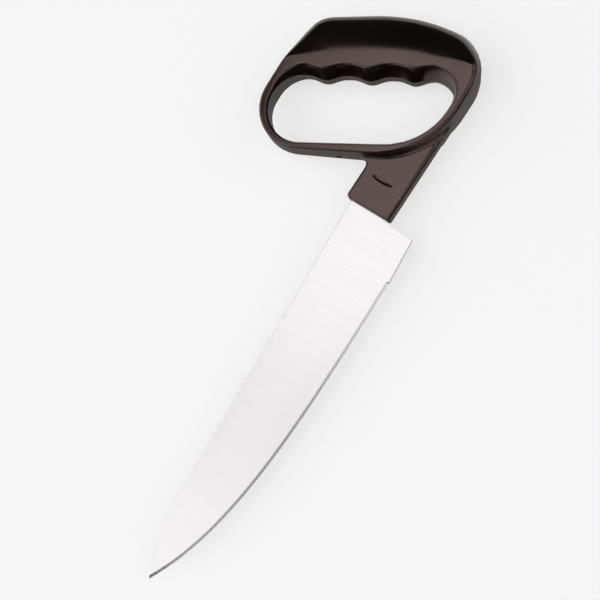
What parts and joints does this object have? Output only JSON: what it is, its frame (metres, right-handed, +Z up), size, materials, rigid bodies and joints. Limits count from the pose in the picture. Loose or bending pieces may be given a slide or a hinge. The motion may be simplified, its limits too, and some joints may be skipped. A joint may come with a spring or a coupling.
{
  "type": "kitchen knife",
  "caption": "Fixed-blade kitchen knife with a broad pale steel blade and a closed glossy black loop handle set across it, with finger grooves inside and a thin knuckle bar.",
  "frame": {"origin": "under the middle of the knife's box, on the surface that it lies on", "axes": "+X along the blade from the butt to the tip, +Y from the spine to the cutting edge, +Z up out of the blade's pictured side"},
  "size_m": [0.3106, 0.1094, 0.0235],
  "materials": {
    "blade_steel": "satin",
    "handle_plastic": "gloss",
    "pin_steel": "satin"
  },
  "bodies": {
    "root": {"blade": "blade_steel", "handle_front_half": "handle_plastic", "handle_rear_half": "handle_plastic", "tang_pin_fore": "pin_steel", "tang_pin_aft": "pin_steel"}
  },
  "joints": []
}
